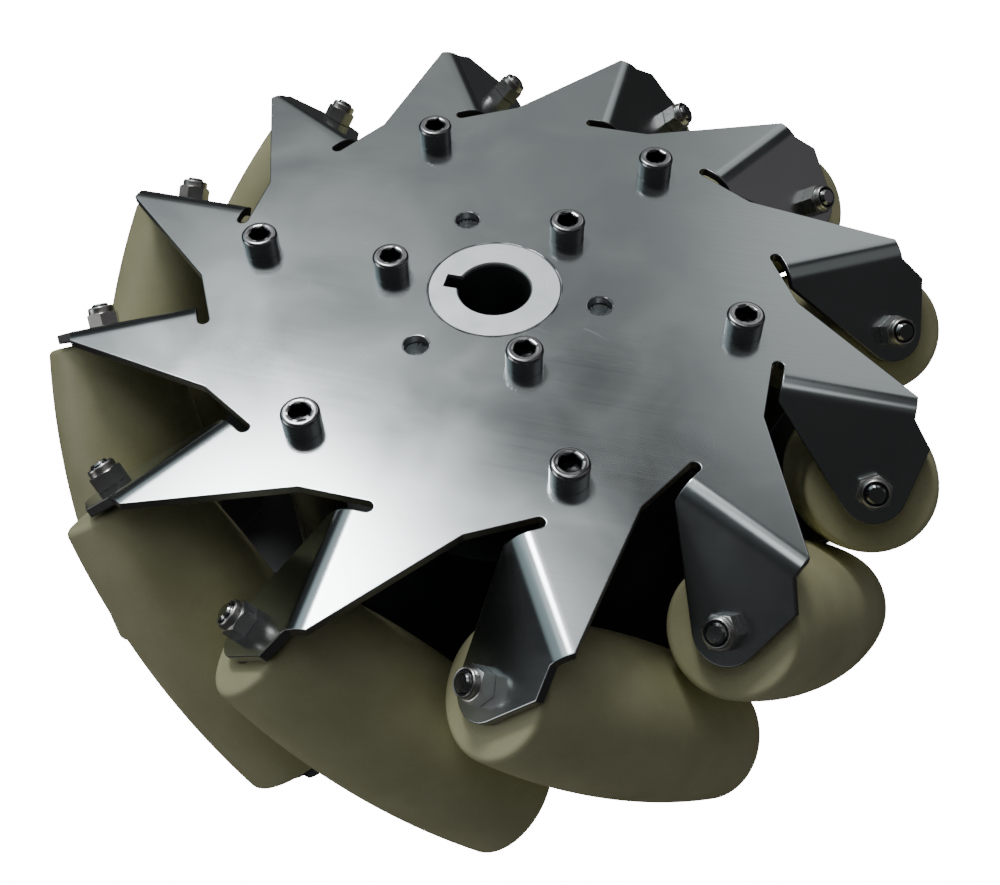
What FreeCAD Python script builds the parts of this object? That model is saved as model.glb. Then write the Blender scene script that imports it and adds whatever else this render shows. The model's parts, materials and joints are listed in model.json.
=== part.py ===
import FreeCAD, Part
import math
import os

Vector = FreeCAD.Vector

# Mecanum wheel, lying on its side with the wheel axis along +Z.
# Origin: the hub axis at mid width. +X points at the middle of roller 1.
# Lengths are millimetres and angles are degrees.

# The wheel and its rollers
wheel_radius = 127.0
roller_count = 12
roller_tilt = 45.0
roller_length = 85.0
roller_gap = 0.8
roller_edge_round = 1.6
roller_bore = 11.0
end_recess = 0.5
side_gap = 1.0

# Axle bolts, lock nuts and the bearings on them
axle_diameter = 5.0
axle_slip = 0.05
tab_hole_slack = 0.4
axle_head_flats = 8.0
axle_head_height = 3.5
axle_end_show = 0.8
thread_chamfer = 0.6
nut_flats = 8.0
nut_hex_height = 4.2
nut_collar_height = 1.9
nut_collar_diameter = 7.4
bearing_diameter = 16.0
bearing_width = 5.0
inner_ring_diameter = 7.8
bearing_running_gap = 0.08
seat_slip = 0.02
sleeve_step = 0.2

# Bent sheet plates
sheet = 2.5
bend_inner_radius = 5.5
tab_drop = 22.9
tab_end_radius = 8.4
tab_inner_drop = 4.9
tab_tip_reach = 6.4
shoulder_reach = 11.4
shoulder_drop = 9.9
tab_inner_reach = 27.2
relief_width = 3.0
relief_overrun = 2.3
notch_floor_length = 17.8

# Hub
hub_bore = 20.0
keyway_width = 5.0
keyway_depth = 4.0
keyway_angle = 180.0
bore_chamfer = 1.0
spigot_diameter = 36.0
spigot_slip = 0.1
hub_bolt_circle = 58.6
hub_bolt_count = 6
hub_rim = 8.6
hub_flange_floor = 2.5
hub_waist_diameter = 48.0
hub_chamfer = 1.5

# Spacers between the plates
rim_bolt_edge = 8.9
rim_bolt_count = 6
spacer_diameter = 14.0
spacer_chamfer = 0.8

# Socket head cap screws
screw_diameter = 6.0
screw_length = 16.0
screw_head_diameter = 10.0
screw_head_height = 6.0
screw_socket_flats = 5.0
screw_socket_depth = 3.0
screw_head_chamfer = 0.6
screw_hole_slack = 0.2
open_hole_slack = 0.6
thread_slip = 0.05
tapped_spare_depth = 2.0

# How finely the roller's outline is searched
halving_steps = 40
gap_stations = 12

pitch = 360.0 / roller_count
tilt = math.radians(roller_tilt)


def roller_profile_point(mid_radius, angle):
    """Where the wheel's round tread meets the roller, at an angle round the wheel.

    The line from the tread square to the wheel axis also crosses the roller's axis.
    Returns the place along the roller's axis and the roller's radius there.
    """
    centre = wheel_radius - mid_radius
    depth = wheel_radius - centre / math.cos(angle)
    along = centre * math.tan(angle) / math.sin(tilt)
    along += depth * math.sin(tilt) * math.sin(angle)
    return along, depth * math.sqrt(1 - (math.sin(tilt) * math.sin(angle)) ** 2)


def roller_radius_at(mid_radius, along):
    """The roller's radius at a distance from its middle, by halving the angle."""
    low = 0.0
    high = math.radians(pitch)
    for _ in range(halving_steps):
        middle = (low + high) / 2
        if roller_profile_point(mid_radius, middle)[0] < along:
            low = middle
        else:
            high = middle
    return roller_profile_point(mid_radius, low)[1]


def neighbour_gap(mid_radius):
    """The space left where one roller's end passes its neighbour's middle."""
    centre = wheel_radius - mid_radius
    gaps = []
    stations = [roller_length / 2 * i / gap_stations for i in range(gap_stations + 1)]
    ends = [(along, roller_radius_at(mid_radius, along)) for along in stations]
    for along, radius in ends:
        for across, other_radius in ends:
            distance = axis_distance(centre, -along, across)
            gaps.append(distance - radius - other_radius)
    return min(gaps)


def axis_distance(centre, along, across):
    """Distance between a point on one roller's axis and a point on the next one's."""
    turn = math.radians(pitch)
    y_one = -along * math.sin(tilt)
    y_two = -across * math.sin(tilt)
    x_two = centre * math.cos(turn) - y_two * math.sin(turn)
    y_next = centre * math.sin(turn) + y_two * math.cos(turn)
    z_step = (across - along) * math.cos(tilt)
    return math.sqrt((x_two - centre) ** 2 + (y_next - y_one) ** 2 + z_step ** 2)


def fattest_roller():
    """The largest middle radius that keeps the stated gap between neighbours."""
    low = bearing_diameter / 2
    high = wheel_radius / 3
    for _ in range(halving_steps):
        middle = (low + high) / 2
        if neighbour_gap(middle) > roller_gap:
            low = middle
        else:
            high = middle
    return low


roller_mid_radius = fattest_roller()
axle_radius_on_wheel = wheel_radius - roller_mid_radius
roller_end_radius = roller_radius_at(roller_mid_radius, roller_length / 2)

# Places along the axle, from the roller's middle
tab_inner_face = roller_length / 2 + side_gap
tab_outer_face = tab_inner_face + sheet
bearing_outer_face = roller_length / 2 - end_recess
bearing_inner_face = bearing_outer_face - bearing_width

# The sharp line where a tab's plane would meet the plate's top
half_width = tab_drop * math.sin(tilt) + tab_outer_face * math.cos(tilt)
sharp_y = tab_drop * math.cos(tilt) - tab_outer_face * math.sin(tilt)
bend_outer_radius = bend_inner_radius + sheet
bend_setback = bend_outer_radius * math.tan(tilt / 2)
bend_start_y = sharp_y + bend_setback
plate_under = half_width - sheet

relief_end_y = bend_start_y + relief_overrun
tab_inner_x = axle_radius_on_wheel - tab_inner_reach
tab_tip_x = axle_radius_on_wheel + tab_tip_reach
notch_floor_x = tab_inner_x - relief_width
rim_bolt_circle = 2 * (notch_floor_x - rim_bolt_edge)

tapped_depth = screw_length - sheet + tapped_spare_depth
hub_flange_radius = hub_bolt_circle / 2 + hub_rim
hub_flange_under = plate_under - tapped_depth - hub_flange_floor
sleeve_diameter = inner_ring_diameter - 2 * sleeve_step


def polar(radius, degrees, z=0.0):
    """A point at a radius and an angle round the wheel axis."""
    angle = math.radians(degrees)
    return Vector(radius * math.cos(angle), radius * math.sin(angle), z)


def turned(point, degrees):
    """A point turned round the wheel axis."""
    return polar(math.hypot(point.x, point.y),
                 math.degrees(math.atan2(point.y, point.x)) + degrees, point.z)


def tube(outer, inner, start, end):
    """A ring round Z between two heights."""
    body = Part.makeCylinder(outer, end - start, Vector(0, 0, start))
    return body.cut(Part.makeCylinder(inner, end - start, Vector(0, 0, start)))


def hexagon(flats, start, end):
    """A six-sided bar round Z, by its width over the flats."""
    corner = flats / 2 / math.cos(math.radians(30))
    points = [polar(corner, 60 * i, start) for i in range(7)]
    face = Part.Face(Part.makePolygon(points))
    return face.extrude(Vector(0, 0, end - start))


def turning(points):
    """A solid turned round Z from its half outline, given as radius and height."""
    outline = [Vector(r, 0, z) for r, z in points]
    outline.append(outline[0])
    face = Part.Face(Part.makePolygon(outline))
    return face.revolve(Vector(0, 0, 0), Vector(0, 0, 1), 360)


def round_wheel(shape, degrees):
    """A copy turned round the wheel axis."""
    copy = shape.copy()
    copy.rotate(Vector(0, 0, 0), Vector(0, 0, 1), degrees)
    return copy


def on_axle(shape):
    """Moves what was drawn along Z onto roller 1's tilted axle."""
    copy = shape.copy()
    copy.rotate(Vector(0, 0, 0), Vector(1, 0, 0), roller_tilt)
    copy.translate(Vector(axle_radius_on_wheel, 0, 0))
    return copy


def flipped(shape):
    """The same thing on the wheel's other side, turned over about X."""
    copy = shape.copy()
    copy.rotate(Vector(0, 0, 0), Vector(1, 0, 0), 180)
    return copy


def moved(shape, place):
    """A copy moved to a place."""
    copy = shape.copy()
    copy.translate(place)
    return copy


def line(start, end):
    return Part.LineSegment(start, end).toShape()


def arc(start, middle, end):
    return Part.Arc(start, middle, end).toShape()


def tangent_point(point, centre, radius, side):
    """Where a line from a point touches a circle. Side 1 or -1 picks which one."""
    away = point - centre
    distance = away.Length
    spread = math.degrees(math.acos(radius / distance)) * side
    facing = math.degrees(math.atan2(away.y, away.x)) + spread
    return centre + polar(radius, facing)


def star_blank():
    """The flat star of a plate: spikes, notches and rounded relief slots."""
    tab_inside = Vector(tab_inner_x, bend_start_y, plate_under)
    tip = Vector(tab_tip_x, bend_start_y, plate_under)
    root = Vector(notch_floor_x, relief_end_y - notch_floor_length, plate_under)
    slot_floor = Vector(notch_floor_x, relief_end_y, plate_under)
    slot_top = Vector((notch_floor_x + tab_inner_x) / 2, relief_end_y + relief_width / 2,
                      plate_under)
    slot_tab = Vector(tab_inner_x, relief_end_y, plate_under)
    edges = []
    for i in range(roller_count):
        here = pitch * i
        after = pitch * (i + 1)
        edges.append(line(turned(tab_inside, here), turned(tip, here)))
        edges.append(line(turned(tip, here), turned(root, after)))
        edges.append(line(turned(root, after), turned(slot_floor, after)))
        edges.append(arc(turned(slot_floor, after), turned(slot_top, after),
                         turned(slot_tab, after)))
        edges.append(line(turned(slot_tab, after), turned(tab_inside, after)))
    face = Part.Face(Part.Wire(edges))
    return face.extrude(Vector(0, 0, sheet))


def bend_strip():
    """The curved strip between the flat of a plate and one tab."""
    corners = [Vector(tab_inner_x, bend_start_y, plate_under),
               Vector(tab_tip_x, bend_start_y, plate_under),
               Vector(tab_tip_x, bend_start_y, half_width),
               Vector(tab_inner_x, bend_start_y, half_width)]
    corners.append(corners[0])
    face = Part.Face(Part.makePolygon(corners))
    middle = Vector(0, bend_start_y, half_width - bend_outer_radius)
    return face.revolve(middle, Vector(1, 0, 0), roller_tilt)


def tab_leaf():
    """One tab below its bend: it narrows to a round end about the axle hole."""
    top = tab_drop - bend_setback
    inside = Vector(tab_inner_x - axle_radius_on_wheel, top, 0)
    outside = Vector(tab_tip_reach, top, 0)
    shoulder = Vector(shoulder_reach, tab_drop - shoulder_drop, 0)
    elbow = Vector(inside.x, tab_drop - tab_inner_drop, 0)
    centre = Vector(0, 0, 0)
    outer_touch = tangent_point(shoulder, centre, tab_end_radius, -1)
    inner_touch = tangent_point(elbow, centre, tab_end_radius, 1)
    bottom = Vector(0, -tab_end_radius, 0)
    edges = [line(inside, outside), line(outside, shoulder), line(shoulder, outer_touch),
             arc(outer_touch, bottom, inner_touch), line(inner_touch, elbow),
             line(elbow, inside)]
    leaf = Part.Face(Part.Wire(edges)).extrude(Vector(0, 0, sheet))
    hole = Part.makeCylinder((axle_diameter + tab_hole_slack) / 2, sheet)
    return on_axle(moved(leaf.cut(hole), Vector(0, 0, tab_inner_face)))


def front_plate():
    """The star plate with a bent tab on every spike and its screw holes.

    The wheel's own screws fit closely. Between them round the hub, every other hole is
    wider and stays open, for the screws of a coupling that go on into the hub.
    """
    tab = bend_strip().fuse(tab_leaf())
    tabs = [round_wheel(tab, pitch * i) for i in range(roller_count)]
    plate = star_blank().multiFuse(tabs).removeSplitter()
    close_hole = Part.makeCylinder((screw_diameter + screw_hole_slack) / 2, sheet)
    open_hole = Part.makeCylinder((screw_diameter + open_hole_slack) / 2, sheet)
    holes = [moved(close_hole, polar(rim_bolt_circle / 2, 360 / rim_bolt_count * i, plate_under))
             for i in range(rim_bolt_count)]
    for i in range(hub_bolt_count):
        hole = open_hole if i % 2 == 0 else close_hole
        holes.append(moved(hole, polar(hub_bolt_circle / 2, 360 / hub_bolt_count * i, plate_under)))
    holes.append(Part.makeCylinder(spigot_diameter / 2 + spigot_slip, sheet,
                                   Vector(0, 0, plate_under)))
    return plate.cut(holes)


def hub():
    """The turned hub: two flanges, a waist, a spigot through each plate, a keyed bore."""
    bore = hub_bore / 2
    spigot = spigot_diameter / 2
    waist = hub_waist_diameter / 2
    quarter = [(bore, half_width - bore_chamfer),
               (bore + bore_chamfer, half_width),
               (spigot, half_width),
               (spigot, plate_under),
               (hub_flange_radius - hub_chamfer, plate_under),
               (hub_flange_radius, plate_under - hub_chamfer),
               (hub_flange_radius, hub_flange_under),
               (waist, hub_flange_under)]
    mirrored = [(r, -z) for r, z in reversed(quarter)]
    body = turning(quarter + mirrored)
    key = Part.makeBox(bore + keyway_depth, keyway_width, 2 * half_width,
                       Vector(0, -keyway_width / 2, -half_width))
    body = body.cut(round_wheel(key, keyway_angle))
    tapped = Part.makeCylinder(screw_diameter / 2 + thread_slip, tapped_depth,
                               Vector(0, 0, plate_under - tapped_depth))
    holes = []
    for i in range(hub_bolt_count):
        front = moved(tapped, polar(hub_bolt_circle / 2, 360 / hub_bolt_count * i))
        holes += [front, flipped(front)]
    return body.cut(holes)


def spacer():
    """One round spacer between the plates, tapped at both ends."""
    radius = spacer_diameter / 2
    bar = turning([(0, -plate_under), (radius - spacer_chamfer, -plate_under),
                   (radius, -plate_under + spacer_chamfer),
                   (radius, plate_under - spacer_chamfer),
                   (radius - spacer_chamfer, plate_under), (0, plate_under)])
    tapped = Part.makeCylinder(screw_diameter / 2 + thread_slip, tapped_depth,
                               Vector(0, 0, plate_under - tapped_depth))
    return bar.cut([tapped, flipped(tapped)])


def cap_screw():
    """A socket head cap screw, with its seat under the head at height 0."""
    head = screw_head_diameter / 2
    shank = screw_diameter / 2
    body = turning([(0, -screw_length), (shank - thread_chamfer, -screw_length),
                    (shank, -screw_length + thread_chamfer), (shank, 0), (head, 0),
                    (head, screw_head_height - screw_head_chamfer),
                    (head - screw_head_chamfer, screw_head_height),
                    (0, screw_head_height)])
    socket = hexagon(screw_socket_flats, screw_head_height - screw_socket_depth,
                     screw_head_height)
    return body.cut(socket)


def screw_ring(circle, count, first):
    """Cap screws on a bolt circle of the front plate, as one group of solids."""
    screw = moved(cap_screw(), Vector(0, 0, half_width))
    return Part.makeCompound([moved(screw, polar(circle / 2, first + 360 / count * i))
                              for i in range(count)])


def chamfered_hexagon(flats, start, end):
    """A six-sided bar with its corners turned off at the far end."""
    corner = flats / 2 / math.cos(math.radians(30))
    inside = flats / 2
    slope = (corner - inside) * math.tan(math.radians(30))
    cone = turning([(0, start), (corner, start), (corner, end - slope),
                    (inside, end), (0, end)])
    return hexagon(flats, start, end).common(cone)


def lock_nut():
    """A lock nut: a hexagon with the round collar that holds its nylon ring."""
    start = tab_outer_face
    top = start + nut_hex_height
    body = chamfered_hexagon(nut_flats, start, top)
    collar = Part.makeCylinder(nut_collar_diameter / 2, nut_collar_height, Vector(0, 0, top))
    bore = Part.makeCylinder(axle_diameter / 2 + axle_slip,
                             nut_hex_height + nut_collar_height, Vector(0, 0, start))
    return body.fuse(collar).removeSplitter().cut(bore)


def axle_bolt():
    """The long bolt through two tabs and a roller, with its head at the rear tab."""
    radius = axle_diameter / 2
    top = tab_outer_face + nut_hex_height + nut_collar_height + axle_end_show
    shank = turning([(0, -tab_outer_face), (radius, -tab_outer_face),
                     (radius, top - thread_chamfer), (radius - thread_chamfer, top), (0, top)])
    head = chamfered_hexagon(axle_head_flats, tab_outer_face,
                             tab_outer_face + axle_head_height)
    return shank.fuse(flipped(head)).removeSplitter()


def roller():
    """One barrel roller, shaped so that the wheel's outside is a true circle."""
    half = roller_length / 2
    stations = [-half, -half * 2 / 3, -half / 3, 0, half / 3, half * 2 / 3, half]
    points = [Vector(roller_radius_at(roller_mid_radius, abs(z)), 0, z) for z in stations]
    curve = Part.BSplineCurve()
    curve.interpolate(points)
    edges = [curve.toShape(), line(points[-1], Vector(0, 0, half)),
             line(Vector(0, 0, half), Vector(0, 0, -half)),
             line(Vector(0, 0, -half), points[0])]
    barrel = Part.Face(Part.Wire(edges)).revolve(Vector(0, 0, 0), Vector(0, 0, 1), 360)
    rims = [edge for edge in barrel.Edges
            if edge.Closed and abs(abs(edge.CenterOfMass.z) - half) < roller_edge_round]
    barrel = barrel.makeFillet(roller_edge_round, rims)
    seat = Part.makeCylinder(bearing_diameter / 2 + seat_slip, half,
                             Vector(0, 0, bearing_inner_face))
    bore = Part.makeCylinder(roller_bore / 2, roller_length, Vector(0, 0, -half))
    return barrel.cut([seat, flipped(seat), bore])


def bearing_outer_rings():
    """The two bearings' outer rings with their shields, pressed into the roller."""
    ring = tube(bearing_diameter / 2, inner_ring_diameter / 2 + bearing_running_gap,
                bearing_inner_face, bearing_outer_face)
    return Part.makeCompound([ring, flipped(ring)])


def bearing_inner_rings():
    """The two bearings' inner rings, clamped on the axle."""
    ring = tube(inner_ring_diameter / 2, axle_diameter / 2 + axle_slip,
                bearing_inner_face, bearing_outer_face)
    return Part.makeCompound([ring, flipped(ring)])


def axle_sleeve():
    """The sleeve that keeps the inner rings apart when the nut is tightened."""
    return tube(sleeve_diameter / 2, axle_diameter / 2 + axle_slip,
                -bearing_inner_face, bearing_inner_face)


def side_washers():
    """The washers between the tabs and the inner rings."""
    washer = tube(sleeve_diameter / 2, axle_diameter / 2 + axle_slip,
                  bearing_outer_face, tab_inner_face)
    return Part.makeCompound([washer, flipped(washer)])


def export(name, shape):
    shape.exportStep("parts/" + name + ".step")


def all_round(shape):
    """A group with one copy of a shape for every roller."""
    solids = []
    for i in range(roller_count):
        solids += round_wheel(shape, pitch * i).Solids
    return Part.makeCompound(solids)


def build():
    os.makedirs("parts", exist_ok=True)
    plate = front_plate()
    export("front_plate", plate)
    export("rear_plate", flipped(plate))
    export("hub", hub())
    bar = spacer()
    for i in range(rim_bolt_count):
        place = polar(rim_bolt_circle / 2, 360 / rim_bolt_count * i)
        export("plate_spacer_%d" % (i + 1), moved(bar, place))
    rim_screws = screw_ring(rim_bolt_circle, rim_bolt_count, 0)
    hub_screws = screw_ring(hub_bolt_circle, hub_bolt_count // 2, 360 / hub_bolt_count)
    export("front_rim_screws", rim_screws)
    export("rear_rim_screws", flipped(rim_screws))
    export("front_hub_screws", hub_screws)
    export("rear_hub_screws", flipped(hub_screws))
    barrel = on_axle(roller())
    rings = on_axle(bearing_outer_rings())
    bolt = on_axle(axle_bolt())
    for i in range(roller_count):
        number = "%02d" % (i + 1)
        export("roller_" + number, round_wheel(barrel, pitch * i))
        export("bearing_outer_rings_" + number, round_wheel(rings, pitch * i))
        export("axle_bolt_" + number, round_wheel(bolt, pitch * i))
    export("axle_lock_nuts", all_round(on_axle(lock_nut())))
    export("bearing_inner_rings", all_round(on_axle(bearing_inner_rings())))
    export("axle_sleeves", all_round(on_axle(axle_sleeve())))
    export("side_washers", all_round(on_axle(side_washers())))
    print("roller: middle radius %.2f, end radius %.2f" % (roller_mid_radius, roller_end_radius))
    print("axles at radius %.2f, width over the plates %.2f" % (axle_radius_on_wheel,
                                                                2 * half_width))


build()
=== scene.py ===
# %% [markdown]
# # A mecanum wheel in bent steel and nylon
# Two star-shaped plates are screwed to a keyed hub. Every spike of a star has a tab
# bent down 45 degrees, and twelve barrel rollers turn on bolts between the tabs of
# the two plates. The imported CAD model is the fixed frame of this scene: it holds the
# sizes and the moving bodies, and everything below is fitted to it.

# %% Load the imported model
import json
import math

import bmesh
import bpy
import numpy as np
from mathutils import Matrix, Vector
from mathutils.geometry import delaunay_2d_cdt


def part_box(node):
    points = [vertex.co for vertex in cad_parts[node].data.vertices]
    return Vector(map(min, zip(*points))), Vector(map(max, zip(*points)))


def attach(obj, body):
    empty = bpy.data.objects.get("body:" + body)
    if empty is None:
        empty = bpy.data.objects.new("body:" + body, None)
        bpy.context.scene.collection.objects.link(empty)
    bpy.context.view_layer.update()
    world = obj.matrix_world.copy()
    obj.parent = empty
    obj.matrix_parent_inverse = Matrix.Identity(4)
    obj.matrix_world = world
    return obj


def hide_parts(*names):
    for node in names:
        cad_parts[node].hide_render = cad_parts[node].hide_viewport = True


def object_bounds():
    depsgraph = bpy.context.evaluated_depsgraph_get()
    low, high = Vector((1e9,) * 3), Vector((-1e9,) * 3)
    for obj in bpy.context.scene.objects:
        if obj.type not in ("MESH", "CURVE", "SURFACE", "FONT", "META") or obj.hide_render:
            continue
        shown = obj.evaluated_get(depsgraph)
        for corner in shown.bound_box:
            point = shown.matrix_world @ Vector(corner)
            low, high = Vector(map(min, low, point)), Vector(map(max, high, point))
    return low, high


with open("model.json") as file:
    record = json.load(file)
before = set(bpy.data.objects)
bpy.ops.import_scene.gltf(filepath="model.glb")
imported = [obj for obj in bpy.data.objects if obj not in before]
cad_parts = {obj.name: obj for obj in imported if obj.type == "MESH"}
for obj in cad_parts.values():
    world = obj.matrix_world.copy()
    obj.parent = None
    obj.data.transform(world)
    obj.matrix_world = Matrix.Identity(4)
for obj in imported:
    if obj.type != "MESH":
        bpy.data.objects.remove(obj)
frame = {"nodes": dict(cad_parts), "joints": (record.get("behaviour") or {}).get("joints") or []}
nodes = frame["nodes"]
cad_box = [list(corner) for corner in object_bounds()]
print("the CAD box in metres:", cad_box)

# %% [markdown]
# ## The sizes that drive the wheel
# A designer starts from a few numbers, such as the wheel's radius, and works out the
# rest. The axle circle, the tilt and the width are read from the frame, so the new
# surfaces meet the CAD's exactly. Lengths are in millimetres until a mesh is made.

# %% Name the sizes
mm = 0.001
wheel_radius = 127.0
roller_count = 12
roller_numbers = ["%02d" % (i + 1) for i in range(roller_count)]
roller_half = 42.5
sheet = 2.5
bend_inner = 5.5
tab_drop = 22.9
tab_inner_face = 43.5
tab_outer_face = tab_inner_face + sheet
axle_radius = 2.5
hub_bolt_radius = 29.3
centre_hole = 18.1
own_hole, open_hole, axle_hole = 3.1, 3.3, 2.7
spacer_radius = 7.0
tap_radius = 3.05
tap_depth = 15.5

first_joint = frame["joints"][0]
axle_circle = first_joint["pos_m"][0] / mm
tilt = math.acos(first_joint["axis"][2])
half_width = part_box("front_plate")[1].z / mm
plate_under = half_width - sheet
spike_turn = 2 * math.pi / roller_count
rim_bolt_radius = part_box("plate_spacer_1")[1].x / mm - spacer_radius
print("axles at radius %.2f mm, tilted %.1f degrees" % (axle_circle, math.degrees(tilt)))

# %% [markdown]
# ## The camera
# The wheel lies flat and is seen from in front and about 45 degrees above. The place,
# aim, lens and small roll come from fitting the CAD's corners to the picture.

# %% Place the camera
eye = Vector((65.436, -231.084, 279.102)) * mm
aim = Vector((14.982, -52.036, 48.72)) * mm
roll = math.radians(-1.623)
camera = bpy.data.objects.new("camera", bpy.data.cameras.new("camera"))
bpy.context.scene.collection.objects.link(camera)
camera.data.lens = 43.571
camera.data.sensor_width = 36.0
camera.data.clip_start = 0.01
looking = (aim - eye).to_track_quat("-Z", "Y").to_matrix().to_4x4()
camera.matrix_world = Matrix.Translation(eye) @ looking @ Matrix.Rotation(roll, 4, "Z")
bpy.context.scene.camera = camera
print("the camera is %.0f mm from its aim" % ((aim - eye).length / mm))

# %% [markdown]
# ## Shader helpers
# A material is a small network. One helper adds a node and fills its sockets by name,
# so each material below reads like a recipe. Another starts the material.

# %% Write the shader helpers
def fill(new, inputs):
    """Links or sets a node's inputs, by name or by number."""
    for name, value in inputs.items():
        if isinstance(value, bpy.types.NodeSocket):
            new.id_data.links.new(value, new.inputs[name])
        else:
            new.inputs[name].default_value = value
    return new


def node(tree, kind, inputs=None, **settings):
    """Adds a node, sets its properties, and fills its inputs."""
    new = tree.nodes.new(kind)
    for name, value in settings.items():
        setattr(new, name, value)
    return fill(new, inputs or {})


def new_material(name, values):
    """Starts a material and returns it with its network and its Principled shader."""
    material = bpy.data.materials.new(name)
    material.use_nodes = True
    shader = material.node_tree.nodes["Principled BSDF"]
    fill(shader, values)
    return material, material.node_tree, shader


# %% [markdown]
# ## What almost every finish needs
# A mask is stretched to another range, two colours are mixed, values are added, and
# noise is laid on a place. Each helper adds one of these nodes and returns its output,
# so that one can go into the next.

# %% Write the helpers for common nodes
def spread(tree, value, low, high, start=0.0, end=1.0, **settings):
    """A value that runs from start to end, stretched to run from low to high."""
    ends = {"Value": value, "From Min": start, "From Max": end, "To Min": low, "To Max": high}
    return node(tree, "ShaderNodeMapRange", ends, **settings).outputs["Result"]


def mix_colours(tree, share, first, second):
    """A mix of two colours, all first at share 0 and all second at share 1."""
    mix = node(tree, "ShaderNodeMix", {0: share, 6: first, 7: second}, data_type="RGBA")
    return mix.outputs[2]


def maths(tree, operation, first, second):
    """One number worked out from two."""
    return node(tree, "ShaderNodeMath", {0: first, 1: second}, operation=operation).outputs[0]


def vector_maths(tree, operation, first, second):
    """One vector worked out from two."""
    inputs = {0: first, 1: second}
    return node(tree, "ShaderNodeVectorMath", inputs, operation=operation).outputs[0]


def noise(tree, vector, scale, detail=2.0, **more):
    """A noise texture's even grey value."""
    inputs = {"Vector": vector, "Scale": scale, "Detail": detail, **more}
    return node(tree, "ShaderNodeTexNoise", inputs).outputs["Fac"]


def object_place(tree):
    """The place on the object, in millimetres."""
    metres = node(tree, "ShaderNodeTexCoord").outputs["Object"]
    return vector_maths(tree, "MULTIPLY", metres, (1 / mm,) * 3)


def attribute(tree, name):
    """The outputs of one of the mesh's own attributes."""
    return node(tree, "ShaderNodeAttribute", attribute_name=name).outputs


def raise_surface(tree, shader, height, strength, distance):
    """Gives a shader a relief of a height in metres, by a Bump node."""
    inputs = {"Height": height, "Strength": strength, "Distance": distance}
    fill(shader, {"Normal": node(tree, "ShaderNodeBump", inputs).outputs["Normal"]})


# %% [markdown]
# ## Node groups
# An effect that several materials share is built once, as a group with its own inputs
# and outputs, and then placed in each material's network.

# %% Write the group helpers
def new_group(name, numbers, outputs):
    """Starts a node group with a vector input, named numbers, and mask outputs."""
    group = bpy.data.node_groups.new(name, "ShaderNodeTree")
    group.interface.new_socket("Vector", in_out="INPUT", socket_type="NodeSocketVector")
    for label, value in numbers.items():
        socket = group.interface.new_socket(label, in_out="INPUT", socket_type="NodeSocketFloat")
        socket.default_value = value
    for label in outputs:
        group.interface.new_socket(label, in_out="OUTPUT", socket_type="NodeSocketFloat")
    return group, group.nodes.new("NodeGroupInput"), group.nodes.new("NodeGroupOutput")


def place_group(tree, group, inputs):
    """Puts a group in a network with its own values and returns its outputs."""
    return fill(node(tree, "ShaderNodeGroup", node_tree=group), inputs).outputs


# %% [markdown]
# ## Grain, smudges and scratches
# Worked metal is never one even grey. A rolled sheet or a turned ring has fine lines
# that all run one way, oil leaves wide soft smudges, and use leaves a few scratches.
# Each is noise on stretched coordinates. Every metal below uses the same two groups
# with its own scales.

# %% Build the surface groups
grain_group, source, sink = new_group(
    "fine_grain", {"Along": 0.02, "Across": 2.0}, ["Lines", "Clouds"])
place, across = source.outputs["Vector"], source.outputs["Across"]
stretch = node(grain_group, "ShaderNodeCombineXYZ",
               {"X": source.outputs["Along"], "Y": across, "Z": across})
laid = vector_maths(grain_group, "MULTIPLY", place, stretch.outputs[0])
lines = noise(grain_group, laid, 1.0, 4.0, Roughness=0.6)
clouds = noise(grain_group, place, 0.035, 3.0, Distortion=0.6)
fill(sink, {"Lines": spread(grain_group, lines, 0, 1, 0.3, 0.7),
            "Clouds": spread(grain_group, clouds, 0, 1, 0.3, 0.7)})

wear_group, source, sink = new_group(
    "wear", {"Size": 0.05, "Share": 0.5}, ["Scratches", "Specks"])
place, size = source.outputs["Vector"], source.outputs["Size"]
warp = node(wear_group, "ShaderNodeTexNoise", {"Vector": place, "Scale": size})
warped = vector_maths(wear_group, "ADD", place, warp.outputs["Color"])
cells = node(wear_group, "ShaderNodeTexVoronoi", {"Vector": warped, "Scale": size},
             feature="DISTANCE_TO_EDGE")
thin = spread(wear_group, cells.outputs["Distance"], 1, 0, 0.0, 0.004)
shown = spread(wear_group, noise(wear_group, place, 0.09), 0, 1, 0.5, 0.62)
speck_edge = maths(wear_group, "ADD", source.outputs["Share"], 0.25)
specks = spread(wear_group, noise(wear_group, place, 1.4), 0, 1, speck_edge, 0.85)
fill(sink, {"Scratches": maths(wear_group, "MULTIPLY", thin, shown), "Specks": specks})
print("groups:", grain_group.name, wear_group.name)
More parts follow.
